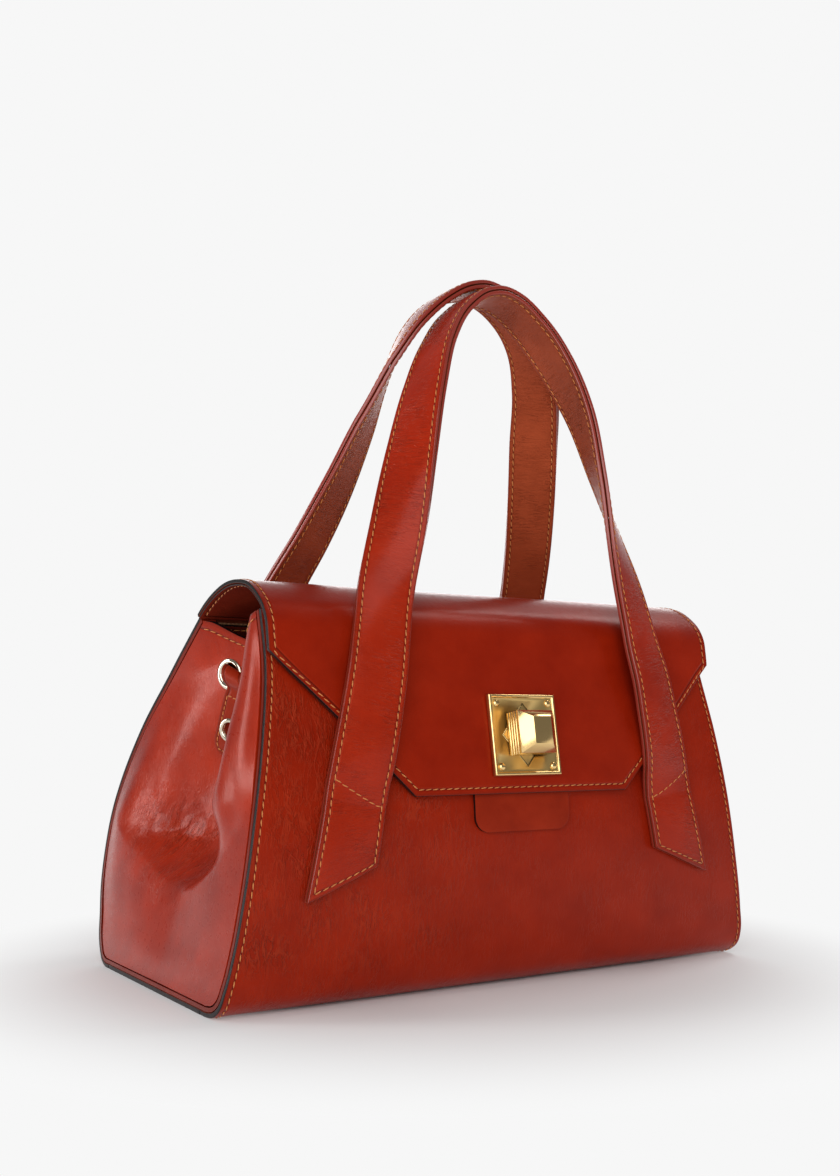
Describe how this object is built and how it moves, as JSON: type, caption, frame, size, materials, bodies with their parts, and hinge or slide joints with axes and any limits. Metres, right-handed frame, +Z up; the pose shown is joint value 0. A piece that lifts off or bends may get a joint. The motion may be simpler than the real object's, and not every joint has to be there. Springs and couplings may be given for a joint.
{
  "type": "handbag",
  "caption": "Structured leather satchel with a pointed flap and turn lock, two folding strap handles, drawn-in gussets and eyelets.",
  "frame": {"origin": "middle of the base, on the surface that the bag stands on", "axes": "+Z up, the front with its lock faces -Y, +X to the bag's left-to-right when seen from the front"},
  "size_m": [0.33, 0.2204, 0.3742],
  "materials": {
    "leather_front": "grained vegetable-tanned leather with fine creases, satin",
    "leather_smooth": "smooth chestnut leather, polished",
    "leather_under": "plain lining leather, matte",
    "edge_paint": "dark painted leather edge, smooth",
    "lining": "woven cotton lining, matte",
    "board": "pressed fibre board, matte",
    "gold": "polished gold-coloured metal",
    "nickel": "polished pale nickel"
  },
  "bodies": {
    "bag": {"front_panel": "leather_front", "back_panel": "leather_smooth", "base_panel": "leather_smooth", "base_stiffener_board": "board", "left_gusset": "leather_smooth", "right_gusset": "leather_smooth", "left_welt": "edge_paint", "right_welt": "edge_paint", "front_top_facing": "leather_under", "back_top_facing": "leather_under", "front_lining": "lining", "back_lining": "lining", "base_lining": "lining", "lock_patch": "leather_smooth", "receiver_plate": "gold", "receiver_backplate": "gold", "front_left_handle_end": "leather_smooth", "front_right_handle_end": "leather_smooth", "back_left_handle_end": "leather_smooth", "back_right_handle_end": "leather_smooth", "left_cinch_strap": "leather_smooth", "right_cinch_strap": "leather_smooth", "left_front_gusset_eyelet": "nickel", "left_front_tab_eyelet": "nickel", "left_back_gusset_eyelet": "nickel", "left_back_tab_eyelet": "nickel", "right_front_gusset_eyelet": "nickel", "right_front_tab_eyelet": "nickel", "right_back_gusset_eyelet": "nickel", "right_back_tab_eyelet": "nickel"},
    "flap": {"flap": "leather_smooth", "flap_lining": "leather_under", "lock_plate": "gold", "lock_backing_plate": "gold"},
    "lock_knob": {"lock_knob": "gold", "lock_spindle": "gold", "lock_latch_bar": "gold"},
    "front_handle": {"front_handle_outer": "leather_smooth", "front_handle_lining": "leather_under"},
    "back_handle": {"back_handle_outer": "leather_smooth", "back_handle_lining": "leather_under"}
  },
  "joints": [
    {"name": "flap_hinge", "type": "hinge", "parent": "bag", "child": "flap", "pos_m": [0, -0.00393, 0.19356], "axis": [-1, 0, 0], "range_deg": [0, 95]},
    {"name": "lock_turn", "type": "hinge", "parent": "flap", "child": "lock_knob", "pos_m": [0, -0.09938, 0.1302], "axis": [0, -0.9866, 0.1635], "range_deg": [0, 90]},
    {"name": "front_handle_fold", "type": "hinge", "parent": "bag", "child": "front_handle", "pos_m": [0, -0.10403, 0.09747], "axis": [1, 0, 0], "range_deg": [0, 114]},
    {"name": "back_handle_fold", "type": "hinge", "parent": "bag", "child": "back_handle", "pos_m": [0, 0.07258, 0.14101], "axis": [-1, 0, 0], "range_deg": [0, 142.5]}
  ],
  "couplings": [
    {"joint": "front_handle_fold", "follows": "flap_hinge", "ratio": 1.2},
    {"joint": "back_handle_fold", "follows": "flap_hinge", "ratio": 1.5}
  ]
}
